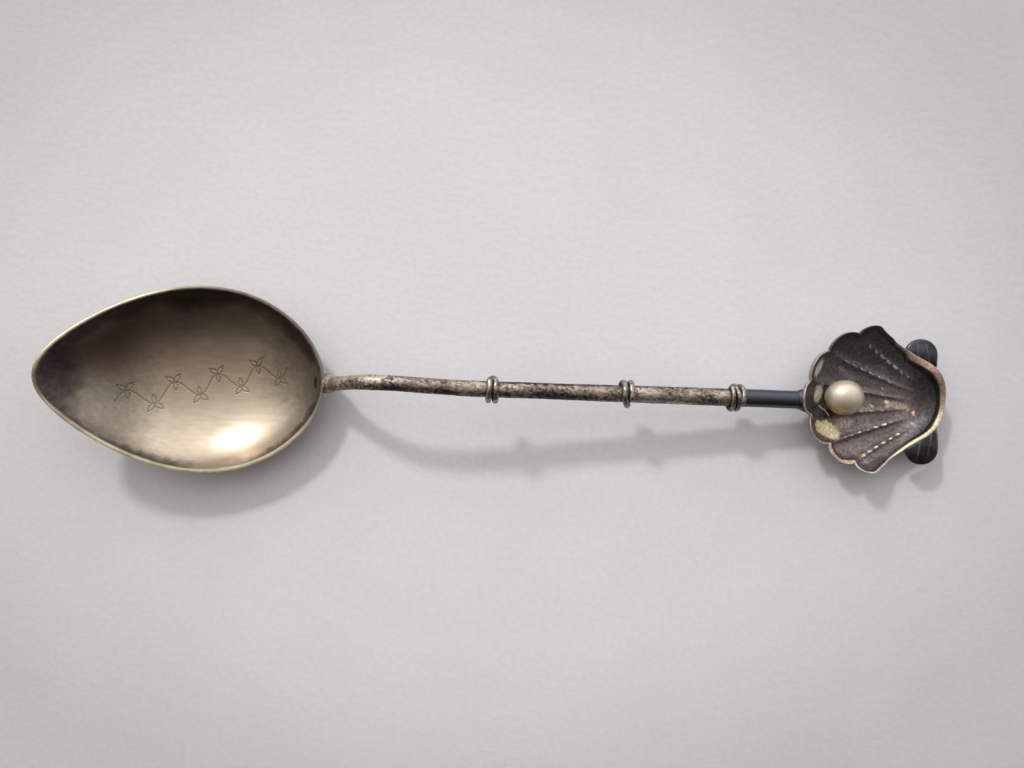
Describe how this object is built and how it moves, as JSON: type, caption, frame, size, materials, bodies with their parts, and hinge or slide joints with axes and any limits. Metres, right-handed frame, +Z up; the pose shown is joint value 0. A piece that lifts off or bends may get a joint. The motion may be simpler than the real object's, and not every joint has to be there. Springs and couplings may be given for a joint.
{
  "type": "souvenir spoon",
  "caption": "Small silver souvenir spoon: egg-shaped bowl with a raised tip, arched round stem bound with wire knuckles, and a fluted scallop shell finial that holds a pearl.",
  "frame": {"origin": "on the small wear flat under the bowl, where the spoon rests on a table", "axes": "+X runs along the spoon from the bowl to the shell, +Z is up out of the bowl, +Y completes a right-handed frame"},
  "size_m": [0.1152, 0.024, 0.0114],
  "materials": {
    "bowl_silver": "tarnished silver, worn bright on the rim",
    "stem_silver": "mottled worn silver over dark patina",
    "wire_silver": "worn silver wire, dark between the turns",
    "shell_silver": "dark brown patina with worn gold-tinted edges",
    "ear_silver": "blue-black patina",
    "peg_silver": "plain wire, hidden in the pearl",
    "solder": "dull grey silver solder",
    "pearl": "satin nacre, cream",
    "cement": "old pearl cement"
  },
  "bodies": {
    "root": {"bowl": "bowl_silver", "stem": "stem_silver", "bowl_solder": "solder", "shell": "shell_silver", "shell_solder": "solder", "left_ear": "ear_silver", "right_ear": "ear_silver", "pearl": "pearl", "pearl_peg": "peg_silver", "pearl_cement": "cement", "knuckle_wire_1": "wire_silver", "knuckle_wire_2": "wire_silver", "knuckle_wire_3": "wire_silver"}
  },
  "joints": []
}
